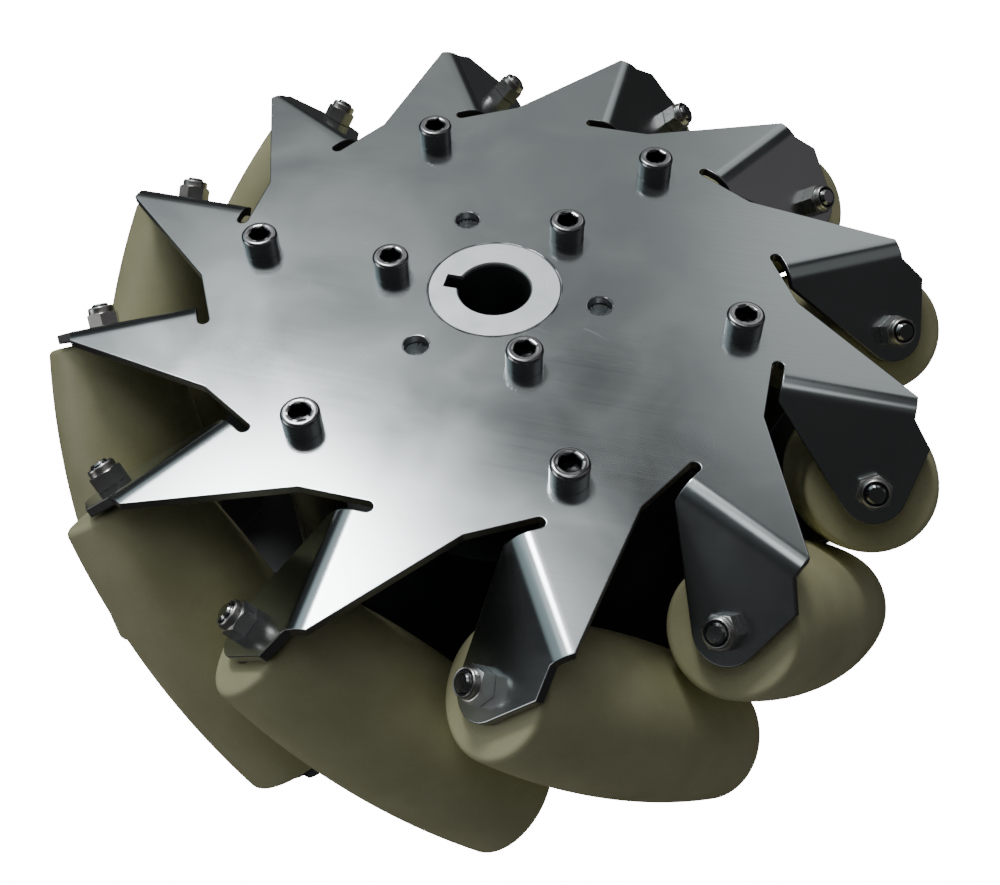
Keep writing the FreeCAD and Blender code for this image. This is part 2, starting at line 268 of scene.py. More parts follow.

# %% [markdown]
# ## The polished sheet
# The plates are stainless sheet, rolled bright, cut by laser and then bent. The rolled
# grain was there before the bend, so it has to follow the sheet round the fold: it is
# laid on the flat blank's coordinates, which the mesh carries in an attribute named
# blank. A second attribute marks the cut edge, which is duller and has the laser's
# fine stripes. The side that faces the rollers is duller too, and its near-black colour is
# painted shade for the wheel's dark inside.

# %% Make the plate steel
plate_steel, tree, shader = new_material("plate_steel", {"Metallic": 1.0})
blank_at = attribute(tree, "blank")["Vector"]
cut_edge = attribute(tree, "cut_edge")["Fac"]
grain = place_group(tree, grain_group, {"Vector": blank_at, "Along": 0.012, "Across": 1.6})
wear = place_group(tree, wear_group, {"Vector": blank_at, "Size": 0.06})
bright = mix_colours(tree, grain["Clouds"], (0.55, 0.61, 0.62, 1), (0.62, 0.68, 0.69, 1))
lined = mix_colours(tree, spread(tree, grain["Lines"], 0, 0.2), bright, (0.49, 0.52, 0.525, 1))
height_in_sheet = node(tree, "ShaderNodeSeparateXYZ", {0: blank_at}).outputs["Z"]
# Painted shade: the side that faces the rollers is coloured near black; it is also made duller.
inner = spread(tree, height_in_sheet, 1, 0, 0.0, 0.3)
colour_with_painted_shade = mix_colours(tree, inner, lined, (0.075, 0.078, 0.08, 1))
polish = maths(tree, "ADD", spread(tree, grain["Clouds"], 0.15, 0.20),
               spread(tree, grain["Lines"], 0, 0.02))
scratched = maths(tree, "ADD", polish, spread(tree, wear["Scratches"], 0, 0.05))
dulled = maths(tree, "MAXIMUM", spread(tree, inner, 0, 0.35), spread(tree, cut_edge, 0, 0.2))
fill(shader, {"Base Color": mix_colours(tree, cut_edge, colour_with_painted_shade, (0.30, 0.30, 0.31, 1)),
              "Roughness": maths(tree, "ADD", scratched, dulled)})
striped = maths(tree, "MULTIPLY", spread(tree, cut_edge, 0, 4), noise(tree, blank_at, 3.0))
relief = maths(tree, "ADD", spread(tree, grain["Lines"], 0, 0.05), striped)
raise_surface(tree, shader, relief, 0.05, 0.00003)
print("made", plate_steel.name)

# %% [markdown]
# ## Turned metal
# The hub, spacers, screws and bearing rings come off a lathe, so their lines run round
# them. Each turned mesh carries an attribute named turning, with every point's radius
# and its height along the axis. Noise on those two numbers is the same all the way
# round, which is just what a cutting tool leaves. Only the hub's end rings keep a bright
# tone: below them its colour is darkened as painted shade, and so is a cap screw's socket.

# %% Make the turned metals
def turned_metal(name, tone, shade, roughness, line_scale, bump_height, painted_shade_below=None,
                 painted_shade_within=None):
    """A metal with fine lines round its axis and soft smudges.

    Painted shade can darken its colour below a height along its axis, or within a radius.
    """
    material, tree, shader = new_material(name, {"Metallic": 1.0})
    turning = attribute(tree, "turning")["Vector"]
    on_lathe = node(tree, "ShaderNodeSeparateXYZ", {0: turning}).outputs
    grain = place_group(tree, grain_group, {"Vector": turning, "Along": line_scale,
                                            "Across": line_scale})
    here = object_place(tree)
    wear = place_group(tree, wear_group, {"Vector": here, "Size": 0.25, "Share": 0.4})
    smudge = noise(tree, here, 0.12, 3.0)
    toned = mix_colours(tree, spread(tree, smudge, 0, 1, 0.35, 0.65), tone, shade)
    lined = mix_colours(tree, spread(tree, grain["Lines"], 0, 0.4), toned, shade)
    if painted_shade_below is not None:
        height = node(tree, "ShaderNodeMath", {0: on_lathe["Y"]}, operation="ABSOLUTE").outputs[0]
        # Painted shade: below this height the hub's colour is darker, for its bore, holes and
        # flanges.
        skin = spread(tree, height, 1, 0, painted_shade_below - 0.1, painted_shade_below + 0.1)
        lined = mix_colours(tree, skin, lined, (0.27, 0.285, 0.295, 1))
    if painted_shade_within is not None:
        # Painted shade: within this radius, inside the socket, the colour is darkened.
        painted_socket_shade = spread(tree, on_lathe["X"], 1, 0, painted_shade_within - 0.05, painted_shade_within + 0.05)
        lined = mix_colours(tree, painted_socket_shade, lined, (0.11, 0.115, 0.12, 1))
    soft = spread(tree, smudge, roughness - 0.05, roughness + 0.05, 0.35, 0.65)
    speckled = maths(tree, "ADD", soft, spread(tree, wear["Specks"], 0, 0.15))
    fill(shader, {"Base Color": lined, "Roughness": speckled})
    raise_surface(tree, shader, grain["Lines"], 0.3, bump_height)
    return material


# Painted shade darkens the hub below the first height and a cap screw's socket within the second
# radius.
painted_shade_top, socket_edge = plate_under + 1.2, 2.94
hub_aluminium = turned_metal("hub_aluminium", (0.94, 0.99, 1.00, 1), (0.84, 0.91, 0.92, 1),
                             0.46, 2.2, 0.00004, painted_shade_below=painted_shade_top)
spacer_aluminium = turned_metal("spacer_aluminium", (0.72, 0.73, 0.74, 1),
                                (0.58, 0.59, 0.60, 1), 0.34, 1.8, 0.00003)
screw_steel = turned_metal("screw_steel", (0.55, 0.57, 0.58, 1), (0.42, 0.43, 0.44, 1),
                           0.17, 1.5, 0.00001)
cap_screw_steel = turned_metal("cap_screw_steel", (0.60, 0.62, 0.63, 1),
                               (0.46, 0.47, 0.48, 1), 0.17, 1.5, 0.00001,
                               painted_shade_within=socket_edge)
nut_steel = turned_metal("nut_steel", (0.84, 0.83, 0.81, 1), (0.64, 0.63, 0.61, 1),
                         0.30, 1.5, 0.00008)
bearing_steel = turned_metal("bearing_steel", (0.55, 0.55, 0.56, 1), (0.40, 0.40, 0.41, 1),
                             0.16, 3.0, 0.00001)
print("made the turned metals")

# %% [markdown]
# ## Nylon rollers, and the small dark plastics
# The rollers are cast in an olive-beige nylon with a satin skin. It lets a little
# light in, so its shadows stay warm, and it has faint clouds and shallow rings from
# its last turning. Lock nuts have a ring of dark nylon, and bearings black shields.

# %% Make the nylon and the rubber
roller_nylon, tree, shader = new_material(
    "roller_nylon", {"IOR": 1.5, "Subsurface Weight": 0.12,
                     "Subsurface Radius": (0.004, 0.0035, 0.002)})
here = object_place(tree)
casting = noise(tree, here, 0.05, 4.0)
pores = noise(tree, here, 2.5, 3.0)
rings = noise(tree, attribute(tree, "turning")["Vector"], 2.0, 3.0)
cast = mix_colours(tree, spread(tree, casting, 0, 1, 0.3, 0.7),
                   (0.57, 0.56, 0.33, 1), (0.70, 0.69, 0.425, 1))
fill(shader, {"Base Color": mix_colours(tree, spread(tree, pores, 0, 0.5, 0.55, 0.8),
                                        cast, (0.45, 0.44, 0.26, 1)),
              "Roughness": spread(tree, casting, 0.36, 0.50, 0.3, 0.7)})
raise_surface(tree, shader, maths(tree, "ADD", rings, pores), 0.25, 0.00012)


def dark_plastic(name, tone, roughness):
    """A dark plastic with a fine moulded skin."""
    material, tree, shader = new_material(name, {"IOR": 1.5})
    skin = noise(tree, object_place(tree), 2.6, 3.0)
    shade = tuple(0.6 * part for part in tone[:3]) + (1,)
    fill(shader, {"Base Color": mix_colours(tree, skin, tone, shade),
                  "Roughness": spread(tree, skin, roughness - 0.1, roughness + 0.1)})
    raise_surface(tree, shader, skin, 0.2, 0.00005)
    return material


ring_nylon = dark_plastic("ring_nylon", (0.02, 0.022, 0.03, 1), 0.45)
seal_rubber = dark_plastic("seal_rubber", (0.015, 0.015, 0.015, 1), 0.6)
print("made", roller_nylon.name, ring_nylon.name, seal_rubber.name)

# %% [markdown]
# ## From arrays to meshes
# Every surface below is a numpy array of points and arrays of faces. A grid of rows
# and columns gives its faces by counting. Poles are rows whose points coincide, and one
# weld closes them. Edges over 35 degrees are marked sharp, so corners stay crisp.

# %% Write the mesh helpers
sharp_angle = math.radians(35)


def grid_faces(rows, columns, closed=True):
    """Quads over a grid whose columns run round, numbered row by row.

    Each quad joins a point, the next one round, its neighbour in the next row, and the
    first point's neighbour there. A closed grid also joins its last row to its first.
    """
    row = np.arange(rows if closed else rows - 1)[:, None]
    column = np.arange(columns)[None, :]
    after = (row + 1) % rows * columns
    beside = (column + 1) % columns
    quads = [row * columns + column, row * columns + beside, after + beside, after + column]
    return np.stack(np.broadcast_arrays(*quads), axis=-1).reshape(-1, 4)


def add_piece(name, copies, faces, materials, body, stands_for, attributes=None,
              parts=None):
    """Makes one object from several equal copies of a set of points and faces.

    copies has the shape copies x points x 3, in millimetres. faces is a list of face
    arrays that each copy uses, and parts gives each array's place in materials.
    """
    count, size = copies.shape[:2]
    shift = (np.arange(count) * size)[:, None, None]
    arrays = [(array[None] + shift).reshape(-1, array.shape[1]) for array in faces]
    corners = np.concatenate([array.ravel() for array in arrays])
    lengths = np.concatenate([np.full(len(array), array.shape[1]) for array in arrays])
    mesh = bpy.data.meshes.new(name)
    mesh.vertices.add(count * size)
    mesh.vertices.foreach_set("co", (copies * mm).ravel())
    mesh.loops.add(len(corners))
    mesh.loops.foreach_set("vertex_index", corners)
    mesh.polygons.add(len(lengths))
    mesh.polygons.foreach_set("loop_start", np.cumsum(lengths) - lengths)
    if parts:
        mesh.polygons.foreach_set("material_index", np.concatenate(
            [np.full(len(array), part) for array, part in zip(arrays, parts)]))
    for label, values in (attributes or {}).items():
        kind, key = ("FLOAT_VECTOR", "vector") if values.ndim > 1 else ("FLOAT", "value")
        repeats = (count,) + (1,) * (values.ndim - 1)
        stored = mesh.attributes.new(label, kind, "POINT")
        stored.data.foreach_set(key, np.tile(values, repeats).ravel())
    mesh.update(calc_edges=True)
    weld = bmesh.new()
    weld.from_mesh(mesh)
    bmesh.ops.remove_doubles(weld, verts=weld.verts, dist=0.0005 * mm)
    weld.to_mesh(mesh)
    weld.free()
    mesh.shade_smooth()
    mesh.set_sharp_from_angle(angle=sharp_angle)
    for material in materials:
        mesh.materials.append(material)
    made = bpy.data.objects.new(name, mesh)
    bpy.context.scene.collection.objects.link(made)
    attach(made, body)
    if stands_for:
        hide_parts(*stands_for)
    return made


# %% [markdown]
# ## Outlines with soft corners
# No real edge is perfectly sharp, and the thin bright line along a rounded one is much
# of what makes metal look real. An outline is given by its corners, and each becomes a
# short arc. A flat next to an arc would shade as if it curved, so one more point is
# set beside each arc to keep it flat.

# %% Write the outline helpers
def unit(vectors):
    """The same directions with a length of one."""
    return vectors / np.maximum(np.linalg.norm(vectors, axis=1, keepdims=True), 1e-9)


def rounded(corners, radii, steps=3, beside=0.3):
    """A closed outline whose corners are arcs that touch both sides.

    An arc starts its radius over the tangent of half the corner's angle away from the
    corner. Its points are the blend of its two end radii that stays on a circle.
    A radius of 0 keeps the corner's own point.
    """
    corners = np.asarray(corners, float)
    radii = np.broadcast_to(radii, len(corners))[:, None]
    back = unit(np.roll(corners, 1, axis=0) - corners)
    on = unit(np.roll(corners, -1, axis=0) - corners)
    half = np.arccos(np.clip((back * on).sum(1), -1, 1))[:, None] / 2
    middle = corners + unit(back + on) * radii / np.sin(half)
    start = corners + back * radii / np.tan(half)
    end = corners + on * radii / np.tan(half)
    turn = (np.pi - 2 * half)[:, None]
    share = np.linspace(0, 1, steps + 1)[None, :, None]
    from_start = np.sin((1 - share) * turn) * (start - middle)[:, None]
    from_end = np.sin(share * turn) * (end - middle)[:, None]
    arcs = middle[:, None] + (from_start + from_end) / np.maximum(np.sin(turn), 1e-9)
    before = (start + back * beside * radii)[:, None]
    after = (end + on * beside * radii)[:, None]
    points = np.concatenate([before, arcs, after], axis=1).reshape(-1, 2)
    fresh = np.linalg.norm(points - np.roll(points, 1, axis=0), axis=1) > 1e-6
    return points[fresh]


def turned(outline, angles):
    """Carries an outline round Z: radius times cosine, radius times sine, height.

    The outline runs anticlockwise with the radius to the right, so up its outside.
    """
    grid = outline if outline.ndim == 3 else outline[:, None]
    radius, height = grid[..., 0], grid[..., 1] + 0 * angles
    return np.stack([radius * np.cos(angles), radius * np.sin(angles), height], axis=-1)


def all_round(steps):
    """Equal angles right round a circle."""
    return np.linspace(0, 2 * np.pi, steps, endpoint=False)


def turning_of(points):
    """Each point's radius and height, for the lines that a lathe leaves."""
    flat = points.reshape(-1, 3)
    radius = np.hypot(flat[:, 0], flat[:, 1])
    return np.stack([radius, flat[:, 2], 0 * radius], axis=-1)


def add_turned(name, grid, copies, material, stands_for, body="wheel_frame",
               closed=True):
    """Makes an object from placed copies of one turned grid of points."""
    faces = grid_faces(*grid.shape[:2], closed=closed)
    return add_piece(name, copies, [faces], [material], body, stands_for,
                     {"turning": turning_of(grid)})


# %% [markdown]
# ## Places on the wheel
# Rollers, bolts and nuts are drawn upright and then leant over onto roller 1's axle.
# That axle crosses the rim at the tilt angle, and the others follow by turning the
# wheel one twelfth at a time. The rear side is the front side turned over about X.

# %% Write the placing helpers
def spun(points, angle):
    """Points turned round the wheel's axis, by one angle or by one for each copy."""
    c, s = np.cos(angle), np.sin(angle)
    x, y, z = points[..., 0], points[..., 1], points[..., 2]
    return np.stack([x * c - y * s, x * s + y * c, z + 0 * c], axis=-1)


def on_axle(points, number):
    """Points drawn along Z, leant over onto one roller's axle.

    The lean turns them about X by the tilt, and then they move out to the axle circle.
    """
    x, y, z = points.reshape(-1, 3).T
    leant = np.stack([x + axle_circle, y * math.cos(tilt) - z * math.sin(tilt),
                      y * math.sin(tilt) + z * math.cos(tilt)], axis=-1)
    return spun(leant, number * spike_turn)


def on_all_axles(points):
    """Copies of points drawn along Z, one on each roller's axle."""
    return np.stack([on_axle(points, i) for i in range(roller_count)])


def turned_over(points):
    """The same points on the wheel's other side."""
    return points * np.array([1, -1, -1])


def ring_of(points, radius, angles):
    """Copies of points at a radius from the wheel's axis, one for each angle."""
    return np.stack([points.reshape(-1, 3) + [radius * math.cos(a), radius * math.sin(a), 0]
                     for a in angles])


# %% [markdown]
# ## Barrel rollers
# A roller must touch the floor along its whole length while the wheel turns, so its
# outline is the wheel's own cylinder seen from the tilted axle. Walk round the wheel
# by a small angle: a line from the tread square to the wheel's axis also crosses the
# roller's, and gives its radius there and the place along it. The rounded ends have
# seats for two ball bearings.

# %% Make the rollers
roller_bore, seat_radius, seat_depth = 5.5, 8.02, 5.5


def barrel_outline(stations):
    """The roller's outline, up its outside and back down through its bore.

    Place along the axle: c tan(a) / sin(t) + d sin(t) sin(a), and radius there:
    d sqrt(1 - (sin(t) sin(a))^2), where c is the axle circle, t the tilt, a the angle
    round the wheel and d the wheel's radius less c / cos(a).
    """
    angle = np.linspace(0, math.radians(25), 2000)
    depth = wheel_radius - axle_circle / np.cos(angle)
    along = axle_circle * np.tan(angle) / math.sin(tilt)
    along += depth * math.sin(tilt) * np.sin(angle)
    radius = depth * np.sqrt(1 - (math.sin(tilt) * np.sin(angle)) ** 2)
    height = np.linspace(-roller_half, roller_half, stations)
    barrel = np.stack([np.interp(np.abs(height), along, radius), height], axis=-1)
    seat = roller_half - seat_depth
    bore = [(seat_radius, roller_half), (seat_radius, seat), (roller_bore, seat),
            (roller_bore, -seat), (seat_radius, -seat), (seat_radius, -roller_half)]
    radii = [1.6] + [0.0] * (stations - 2) + [1.6] + [0.3, 0.2, 0.3, 0.3, 0.2, 0.3]
    return rounded(np.concatenate([barrel, bore]), radii, steps=4)


barrel = turned(barrel_outline(41), all_round(96))
for i, number in enumerate(roller_numbers):
    add_turned("barrel_roller_" + number, barrel, on_axle(barrel, i)[None], roller_nylon,
               ["roller_" + number], "roller_body_" + number)
print("made", roller_count, "rollers of", barrel.shape[0] * barrel.shape[1], "faces")

# %% [markdown]
# ## The flat blank of a star plate
# A fabricator cuts the plate flat and bends it afterwards, and so does this scene. One
# spike's share of the outline runs from the relief slot down the tab's inner edge,
# round its end, up its outer edge to the tip, and along the spike to the next notch.
# The bend is a strip of the blank, crossed by level lines where the fold will turn.

# %% Draw the blank's outline
bend_outer = bend_inner + sheet
setback = bend_outer * math.tan(tilt / 2)
bend_start = tab_drop * math.cos(tilt) - tab_outer_face * math.sin(tilt) + setback
bend_length = tilt * bend_outer
leaf_top = tab_drop - setback
relief_end = bend_start + 2.3
slot_width = 3.0
notch_length = 17.8
tab_reach = 27.2
inner_edge = axle_circle - tab_reach
outer_edge = axle_circle + 6.4
notch_floor = inner_edge - slot_width
tab_end_radius = 8.4
before_bend, after_bend = 0.8, 0.7
bend_levels = np.concatenate([[-before_bend], np.linspace(0, bend_length, 13),
                              [bend_length + after_bend]])


def leaf(across, up):
    """A point of the tab, from the axle hole, as a place on the flat blank."""
    return [axle_circle + across, bend_start - bend_length - leaf_top + up]


def touch(point, side):
    """The angle at which a line from a point touches the tab's round end."""
    away = math.hypot(*point)
    return math.atan2(point[1], point[0]) + side * math.acos(tab_end_radius / away)


def next_spike(x, y):
    """A point given in the next spike's directions."""
    c, s = math.cos(spike_turn), math.sin(spike_turn)
    return [x * c - y * s, x * s + y * c]


elbow, shoulder = (-tab_reach, tab_drop - 4.9), (11.4, tab_drop - 9.9)
start, stop = touch(elbow, 1) - 2 * math.pi, touch(shoulder, -1)
tab_end = [leaf(tab_end_radius * math.cos(a), tab_end_radius * math.sin(a))
           for a in np.linspace(start, stop, 25)]
tip = np.array([outer_edge, bend_start])
root = np.array(next_spike(notch_floor, relief_end - notch_length))
inner_side = np.stack([0 * bend_levels + inner_edge, bend_start - bend_levels], axis=-1)
outer_side = np.stack([0 * bend_levels + outer_edge, bend_start - bend_levels], axis=-1)
toward_root = (root - tip) / np.linalg.norm(root - tip)
outer_side[0] = tip + toward_root * before_bend / toward_root[1]
to_shoulder = np.array(leaf(*shoulder)) - outer_side[-2]
outer_side[-1] = outer_side[-2] - to_shoulder * after_bend / to_shoulder[1]

slot_middle = (notch_floor + inner_edge) / 2
slot_end = [next_spike(slot_middle - slot_width / 2 * math.cos(a),
                       relief_end + slot_width / 2 * math.sin(a))
            for a in np.linspace(0, math.pi, 13)]
folded = (list(inner_side) + [leaf(*elbow)] + tab_end + [leaf(*shoulder)]
          + list(outer_side[::-1]))
unfolded = [root] + slot_end
elbow_place, shoulder_place = len(inner_side), len(inner_side) + 1 + len(tab_end)
corner_radii = np.zeros(len(folded) + len(unfolded))
corner_radii[[elbow_place, shoulder_place]] = 0.6
corner_radii[len(folded)] = 0.4
print("one spike's outline has", len(corner_radii), "points")

# %% [markdown]
# ## The fold
# The fold is one formula for every point of a tab: it turns about the bend's centre
# while it is in the bend, and runs straight on after it. A modifier could bend a sheet
# too, but the formula keeps the blank's own places, which the grain needs.

# %% Write the folding helpers
def mitres(loop):
    """Outward vectors along which a closed loop of points grows by an even margin."""
    on = np.roll(loop, -1, axis=0) - loop
    normal = unit(np.stack([on[:, 1], -on[:, 0]], axis=-1))
    before = np.roll(normal, 1, axis=0)
    return (normal + before) / (1 + (normal * before).sum(1, keepdims=True))


def hole(centre, radius, steps):
    """A round hole's points, clockwise, so that its outward side is its open middle."""
    angle = -all_round(steps)
    return np.array(centre) + radius * np.stack([np.cos(angle), np.sin(angle)], axis=-1)


def fold(flat, owner, height):
    """Carries points of the blank to their places on the bent plate.

    In the bend, the angle grows in step with the distance past its start, and the
    radius is the bend's inner radius plus the height in the sheet. Past the bend, the
    rest of the distance runs straight down the tab.
    """
    turn = np.maximum(owner, 0) * spike_turn
    x, y = spun(np.pad(flat, ((0, 0), (0, 1))), -turn)[:, :2].T
    past = np.where(owner >= 0, np.maximum(bend_start - y, 0), 0)
    angle = tilt * np.minimum(past / bend_length, 1)
    straight = np.maximum(past - bend_length, 0)
    radius = bend_inner + height
    bent_y = bend_start - radius * np.sin(angle) - straight * math.cos(tilt)
    bent_z = plate_under - bend_inner + radius * np.cos(angle) - straight * math.sin(tilt)
    return spun(np.stack([x, np.where(past > 0, bent_y, y), bent_z], axis=-1), turn)


# %% [markdown]
# ## Loops and rings
# The blank has one outer loop, which is a spike's share copied twelve times, and a loop
# for each hole. Every point remembers the spike that it folds with. Rings of points
# round the loops give the sheet its thickness and its softly broken corners: each is
# the loop drawn in by a small inset, at its own height in the sheet.

# %% Lay out the blank's loops and rings
no_spike = -1
drawn = np.array(folded + unfolded)
one_share = rounded(drawn, corner_radii)
nearest = np.linalg.norm(one_share[:, None] - drawn[None], axis=-1).argmin(axis=1)
spikes = np.arange(roller_count)[:, None]
outline = spun(np.pad(one_share, ((0, 0), (0, 1)))[None], spikes * spike_turn)
owner = np.where(nearest[None] < len(folded), spikes, no_spike).ravel()
sixth = np.arange(6) * math.pi / 3
holes = [((0, 0), centre_hole, 96, no_spike)]
hub_holes = [open_hole, own_hole] * 3
for circle, radii in ((rim_bolt_radius, [own_hole] * 6), (hub_bolt_radius, hub_holes)):
    holes += [((circle * math.cos(a), circle * math.sin(a)), radius, 48, no_spike)
              for a, radius in zip(sixth, radii)]
axle_place = np.array(leaf(0, 0) + [0])
holes += [(spun(axle_place, i * spike_turn)[:2], axle_hole, 48, i)
          for i in range(roller_count)]
loops = [outline[..., :2].reshape(-1, 2)]
loops += [hole(centre, radius, steps) for centre, radius, steps, _ in holes]

flat = np.concatenate(loops)
owner = np.concatenate([owner] + [np.full(steps, spike) for _, _, steps, spike in holes])
outward = np.concatenate([mitres(loop) for loop in loops])
sizes = [len(loop) for loop in loops]
firsts = np.cumsum(sizes) - sizes
following = np.concatenate([first + (np.arange(size) + 1) % size
                            for first, size in zip(firsts, sizes)])

corner, support = 0.25, 0.2
arc_angle = np.linspace(0, math.pi / 2, 4)
insets = np.concatenate([[corner + support], corner * (1 - np.sin(arc_angle)), [0]])
heights = np.concatenate([[sheet], sheet - corner * (1 - np.cos(arc_angle)),
                          [sheet - corner - support]])
insets = np.concatenate([insets, insets[::-1]])
heights = np.concatenate([heights, sheet - heights[::-1]])
rings = [flat - inset * outward for inset in insets]
point_count = len(flat)
each = np.arange(point_count)
ring_faces = np.concatenate([
    np.stack([j * point_count + each, (j + 1) * point_count + each,
              (j + 1) * point_count + following, j * point_count + following], axis=-1)
    for j in range(len(rings) - 1)])
print("the blank has", len(loops), "loops, and each ring", point_count, "points")

# %% [markdown]
# ## Filling and folding
# A sheet with holes is no grid, so a constrained triangulation fills the flat blank and
# keeps the holes and the level lines as edges. Then the fold carries every point to its
# place. The rear plate is the front one turned over.

# %% Fill and fold the plates
level_ends = np.stack([inner_side, outer_side], axis=1)[:, :, None]
level_pairs = np.linalg.norm(one_share - level_ends, axis=-1).argmin(axis=-1)
share_starts = (np.arange(roller_count) * len(one_share))[:, None, None]
level_lines = (level_pairs[None] + share_starts).reshape(-1, 2)
constraints = np.concatenate([np.stack([each, following], axis=-1), level_lines])
filled = delaunay_2d_cdt([Vector(p) for p in rings[0]], constraints.tolist(), [], 1, 1e-5)
origins = np.array([origin[0] for origin in filled[3]])
triangles = origins[np.array([face for face in filled[2] if len(face) == 3])]
middles = rings[0][triangles].mean(axis=1)
solid = np.ones(len(triangles), bool)
for centre, radius, _, _ in holes:
    solid &= np.linalg.norm(middles - centre, axis=1) > radius
triangles = triangles[solid]
plate_points = np.concatenate([fold(ring, owner, height)
                               for ring, height in zip(rings, heights)])
under_faces = triangles[:, ::-1] + (len(rings) - 1) * point_count
blank_map = np.concatenate([np.concatenate([ring, 0 * ring[:, :1] + height], axis=1)
                            for ring, height in zip(rings, heights)])
is_cut = np.repeat((insets < corner * 0.9).astype(float), point_count)
for name, points in (("front", plate_points), ("rear", turned_over(plate_points))):
    add_piece(name + "_star_plate", points[None], [triangles, under_faces, ring_faces],
              [plate_steel], "wheel_frame", [name + "_plate"],
              {"blank": blank_map, "cut_edge": is_cut})
print("a plate has", len(triangles) * 2 + len(ring_faces) * 2, "triangles")

# %% [markdown]
# ## The hub
# The hub is turned with two flanges and a narrow waist, and its end rings sit flush in
# the plates. A keyway is then cut through its bore. A turned outline can't have a
# keyway, but its radius can depend on the angle: at each angle the wall is either the
# outline's own or the keyway's, whichever is further out.

# %% Make the hub
key_half, key_reach, key_angle = 2.5, 14.0, math.pi
flange_radius, waist_radius, flange_under = 37.9, 24.0, plate_under - tap_depth - 2.5
bore, bore_mouth, ring_radius = 10.0, 10.4, 18.0
half_outline = [(ring_radius, plate_under), (ring_radius, half_width),
                (bore_mouth, half_width), (bore, half_width - (bore_mouth - bore))]
flange = [(flange_radius, flange_under), (flange_radius, plate_under - 1.5),
          (flange_radius - 1.5, plate_under)]
upper = [(waist_radius, flange_under)] + flange + half_outline
lower = [(r, -z) for r, z in reversed(upper)]
upper_radii = [1.0, 0.3, 0.3, 0.2, 0.05, 0.15, 0.12, 0.12]
hub_outline = rounded(lower + upper, upper_radii[::-1] + upper_radii)
key_edges = [math.atan2(key_half, key_reach), math.asin(key_half / bore),
             math.asin(key_half / bore_mouth)]
extra = np.array([side * edge + step for side in (-1, 1) for edge in key_edges
                  for step in (-0.004, 0.0, 0.004)])
hub_angles = np.sort(np.concatenate([all_round(180), (key_angle + extra) % (2 * np.pi)]))
from_key = hub_angles - key_angle
with np.errstate(divide="ignore"):
    keyway = np.minimum(key_reach / np.cos(from_key), key_half / np.abs(np.sin(from_key)))
keyway = np.where(np.cos(from_key) > 0, keyway, 0)
near_bore = hub_outline[:, :1] < key_reach + 1
wall = np.maximum(hub_outline[:, :1], np.where(near_bore, keyway[None], 0))
hub_grid = turned(np.stack([wall, hub_outline[:, 1:] + 0 * wall], axis=-1), hub_angles)
hub = add_turned("turned_hub", hub_grid, hub_grid.reshape(1, -1, 3), hub_aluminium,
                 ["hub"])
print("the hub's grid has", hub_grid.shape[0], "rows and", hub_grid.shape[1], "columns")

# %% [markdown]
# ## The tapped holes
# These holes stand off the hub's own axis, so its outline can't have them, and a
# Boolean cuts them instead. Rings up the cutter's side leave the threads that show in
# the open holes.

# %% Cut the tapped holes
thread_edges = np.arange(16)
crest_radius = tap_radius - 0.45
turn_heights = plate_under - 0.6 - 0.5 * thread_edges[::-1]
turn_radii = np.where(thread_edges % 2 == 0, tap_radius, crest_radius)
drill_outline = np.concatenate([
    [(0, plate_under - tap_depth), (crest_radius, plate_under - tap_depth)],
    np.stack([turn_radii, turn_heights], axis=-1),
    [(tap_radius, plate_under), (tap_radius, plate_under + 1), (0, plate_under + 1)]])
drill = turned(drill_outline, all_round(32))
drills = ring_of(drill, hub_bolt_radius, sixth)
drills = np.concatenate([drills, turned_over(drills)])
drill_faces = grid_faces(len(drill_outline), 32, closed=False)
cutter = add_piece("cutter", drills, [drill_faces], [hub_aluminium],
                   "wheel_frame", None)
drilling = hub.modifiers.new("tapped holes", "BOOLEAN")
drilling.object = cutter
drilling.solver = "EXACT"
drilled = hub.evaluated_get(bpy.context.evaluated_depsgraph_get())
shape = bpy.data.meshes.new_from_object(drilled)
hub.modifiers.clear()
hub.data = shape
hub.data.set_sharp_from_angle(angle=sharp_angle)
bpy.data.objects.remove(cutter)
print("the hub has", len(hub.data.polygons), "faces")

# %% [markdown]
# ## Spacers between the plates
# Six round bars keep the plates apart, tapped at both ends for the rim screws. They
# are simple turnings: up the outside, into each blind hole, and to its pole.

# %% Make the spacers
spacer_end = [(0, tap_depth), (tap_radius, tap_depth), (tap_radius, 0), (spacer_radius - 0.8, 0),
              (spacer_radius, 0.8)]
rising = [(r, -plate_under + z) for r, z in spacer_end]
spacer_outline = rounded(rising + [(r, -z) for r, z in reversed(rising)],
                         [0, 0.2, 0.15, 0.1, 0.2, 0.2, 0.1, 0.15, 0.2, 0])
spacer = turned(spacer_outline, all_round(48))
for i, a in enumerate(sixth):
    add_turned("spacer_bar_%d" % (i + 1), spacer, ring_of(spacer, rim_bolt_radius, [a]),
               spacer_aluminium, ["plate_spacer_%d" % (i + 1)],
               closed=False)
print("made six spacers")

# %% [markdown]
# ## Socket head cap screws
# A cap screw is turned too, apart from its socket. The socket's wall is a hexagon
# written as a radius for each angle, and a small cone joins it to the round mouth. Its
# corners are sharp because the grid has a column right on each.

# %% Make the cap screws
def hexagon(flats, angles):
    """A hexagon's radius at each angle: half its flats over the angle's cosine."""
    within = (angles + math.pi / 6) % (math.pi / 3) - math.pi / 6
    return flats / 2 / np.cos(within)


def turned_rows(rows, angles):
    """Turns rows of radius and height, where each may differ from angle to angle."""
    return turned(np.stack([np.stack([radius + 0 * angles, height + 0 * angles], axis=-1)
                            for radius, height in rows]), angles)


